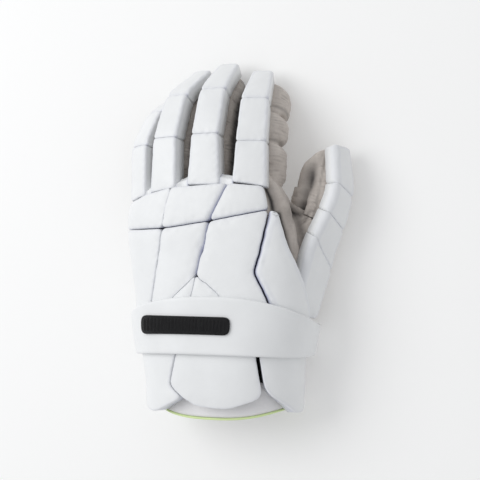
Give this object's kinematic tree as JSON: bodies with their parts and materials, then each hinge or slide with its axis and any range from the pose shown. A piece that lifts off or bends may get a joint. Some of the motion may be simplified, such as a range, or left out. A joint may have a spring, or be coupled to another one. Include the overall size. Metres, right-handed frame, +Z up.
{
  "type": "lacrosse glove",
  "caption": "Padded left-hand lacrosse glove: segmented back and finger pads over a hollow soft-leather hand, with a wrist strap and a flared cuff of padded flaps.",
  "frame": {"origin": "on the surface the glove rests on, under the middle of its outer box", "axes": "+Y from the cuff to the fingertips, +X towards the thumb, +Z up off the back of the hand; the glove lies palm down"},
  "size_m": [0.186, 0.2862, 0.0809],
  "materials": {
    "white_leather": "smooth semi-matte",
    "suede_leather": "brushed nap",
    "cuff_lining": "matte mesh",
    "lime_trim": "matte weave",
    "black_trim": "satin ribbed"
  },
  "bodies": {
    "root": {"knuckle_pad_little": "white_leather", "knuckle_pad_ring": "white_leather", "knuckle_pad_index": "white_leather", "back_pad_little": "white_leather", "back_pad_ring": "white_leather", "back_pad_centre": "white_leather", "fan_pad_left": "white_leather", "fan_pad_right": "white_leather", "thumb_side_pad": "white_leather", "index_pad_base": "white_leather", "index_pad_middle": "white_leather", "index_pad_tip": "white_leather", "middle_pad_base": "white_leather", "middle_pad_middle": "white_leather", "middle_pad_tip": "white_leather", "ring_pad_base": "white_leather", "ring_pad_middle": "white_leather", "ring_pad_tip": "white_leather", "little_pad_base": "white_leather", "little_pad_middle": "white_leather", "little_pad_tip": "white_leather", "thumb_pad_metacarpal": "white_leather", "thumb_pad_base": "white_leather", "thumb_pad_middle": "white_leather", "thumb_pad_tip": "white_leather", "wrist_strap": "white_leather", "cuff_flap_little": "white_leather", "cuff_flap_centre": "white_leather", "cuff_flap_thumb": "white_leather", "palm_shell": "suede_leather", "index_stall": "suede_leather", "middle_stall": "suede_leather", "ring_stall": "suede_leather", "little_stall": "suede_leather", "thumb_stall": "suede_leather", "cuff_liner": "cuff_lining", "cuff_binding": "lime_trim", "strap_badge": "black_trim", "cuff_elastic": "black_trim"}
  },
  "joints": []
}
